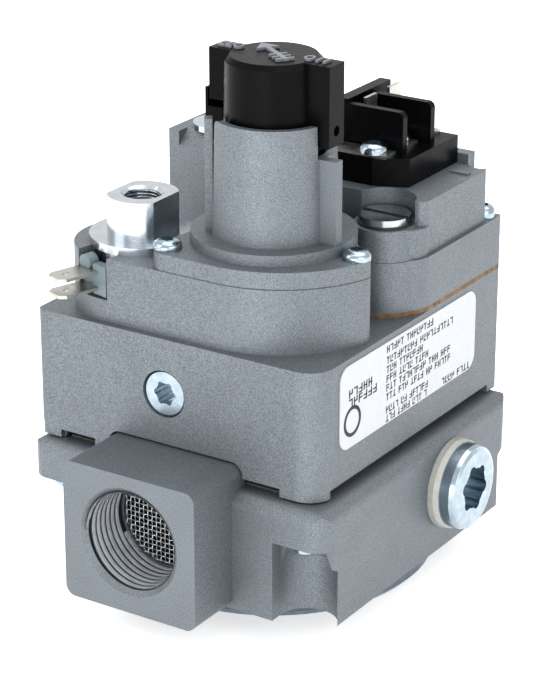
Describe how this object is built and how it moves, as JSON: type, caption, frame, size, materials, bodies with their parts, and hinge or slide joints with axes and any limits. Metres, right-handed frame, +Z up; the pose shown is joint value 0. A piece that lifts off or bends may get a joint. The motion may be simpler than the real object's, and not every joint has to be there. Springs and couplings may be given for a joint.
{
  "type": "gas control valve",
  "caption": "Combination gas control valve with two inline pipe ports, a push-and-turn knob, solenoid housing with screw terminals, pressure regulator and thermocouple port.",
  "frame": {"origin": "centre of the inlet port at its mouth", "axes": "+Y along the gas flow from the inlet port to the outlet port, +Z up through the knob, +X towards the label and side plug"},
  "size_m": [0.0895, 0.1212, 0.1328],
  "materials": {
    "cast_aluminium": "sand-cast satin with fine sparkle",
    "zinc_screw": "bright zinc plate",
    "dark_steel": "dark blue-grey painted steel",
    "machined_metal": "bright turned metal",
    "regulator_metal": "dull turned metal",
    "black_plastic": "black moulded",
    "mark_grey": "raised marks",
    "tin_plate": "tin plated brass",
    "steel": "turned",
    "spring_steel": "drawn wire",
    "mesh_wire": "woven wire",
    "brass": "turned",
    "copper_winding": "varnished winding",
    "black_rubber": "moulded",
    "brown_gasket": "cork and rubber sheet",
    "grey_gasket": "thin sheet",
    "fibre_washer": "pressed fibre",
    "green_washer": "pressed fibre",
    "label_film": "printed film",
    "grey_insulator": "moulded"
  },
  "bodies": {
    "valve": {"base_casting": "cast_aluminium", "main_body": "cast_aluminium", "body_gasket": "grey_gasket", "inlet_screen": "mesh_wire", "outlet_seat_ring": "brass", "bottom_cover": "dark_steel", "main_diaphragm": "black_rubber", "main_valve_spring": "spring_steel", "base_screws": "zinc_screw", "inlet_tap_plug": "zinc_screw", "outlet_tap_plug": "zinc_screw", "side_plug": "zinc_screw", "side_plug_washer": "fibre_washer", "side_plug_seal": "green_washer", "rating_label": "label_film", "cover_plate": "cast_aluminium", "cover_gasket": "grey_gasket", "cover_screws": "zinc_screw", "stem_seal": "black_rubber", "knob_spring": "spring_steel", "knob_stop": "black_plastic", "power_unit_housing": "machined_metal", "power_unit_magnet": "steel", "power_unit_coil": "copper_winding", "safety_valve_spring": "spring_steel", "lever_pin": "steel", "limit_terminals": "tin_plate", "limit_insulator": "grey_insulator", "pilot_cap": "machined_metal", "operator_housing": "cast_aluminium", "operator_gasket": "brown_gasket", "operator_screws": "zinc_screw", "solenoid_coil": "copper_winding", "solenoid_core": "steel", "plunger_spring": "spring_steel", "regulator_cap": "regulator_metal", "regulator_cap_seal": "black_rubber", "regulator_spring": "spring_steel", "regulator_diaphragm": "black_rubber", "terminal_block": "black_plastic", "terminal_plates": "tin_plate", "terminal_screws": "zinc_screw", "terminal_tabs": "tin_plate"},
    "cock": {"cock_rotor": "brass"},
    "knob": {"knob": "black_plastic", "knob_stem": "steel", "knob_marks": "mark_grey"},
    "lever": {"reset_lever": "steel"},
    "safety_valve": {"safety_valve_stem": "steel", "safety_valve_disc": "black_rubber"},
    "main_valve": {"main_valve_stem": "steel", "main_valve_disc": "black_rubber", "diaphragm_plate": "steel"},
    "plunger": {"solenoid_plunger": "steel"},
    "regulator_adjuster": {"regulator_screw": "steel", "regulator_seat": "brass"},
    "pilot_adjuster": {"pilot_needle": "brass"}
  },
  "joints": [
    {"name": "knob_turn", "type": "hinge", "parent": "valve", "child": "cock", "pos_m": [0.0115, 0.0432, 0.045], "axis": [0, 0, 1], "range_deg": [0, 90]},
    {"name": "knob_press", "type": "slide", "parent": "cock", "child": "knob", "axis": [0, 0, -1], "range_m": [0, 0.0015], "stiffness_N_per_m": 1200, "springref_m": -0.003, "deforming": ["knob_spring"]},
    {"name": "lever_rock", "type": "hinge", "parent": "valve", "child": "lever", "pos_m": [-0.0045, 0.03985, 0.0334], "axis": [-0.2049, 0.9788, 0], "range_deg": [0, 5.3]},
    {"name": "safety_lift", "type": "slide", "parent": "valve", "child": "safety_valve", "axis": [0, 0, 1], "range_m": [0, 0.0016], "deforming": ["safety_valve_spring"]},
    {"name": "main_valve_lift", "type": "slide", "parent": "valve", "child": "main_valve", "axis": [0, 0, 1], "range_m": [0, 0.0025], "stiffness_N_per_m": 300, "springref_m": -0.004, "deforming": ["main_valve_spring"]},
    {"name": "plunger_lift", "type": "slide", "parent": "valve", "child": "plunger", "axis": [0, 0, 1], "range_m": [0, 0.0025], "stiffness_N_per_m": 100, "springref_m": -0.003, "deforming": ["plunger_spring"]},
    {"name": "regulator_turn", "type": "hinge", "parent": "valve", "child": "regulator_adjuster", "pos_m": [0.0282, 0.0648, 0.056], "axis": [0, 0, 1], "range_deg": [-1080, 0]},
    {"name": "pilot_turn", "type": "hinge", "parent": "valve", "child": "pilot_adjuster", "pos_m": [-0.0272, 0.0779, 0.06], "axis": [0, 0, 1], "range_deg": [0, 720]}
  ],
  "couplings": [
    {"joint": "lever_rock", "follows": "knob_press", "rad_per_m": 61.173},
    {"joint": "safety_lift", "follows": "knob_press", "ratio": 1}
  ]
}
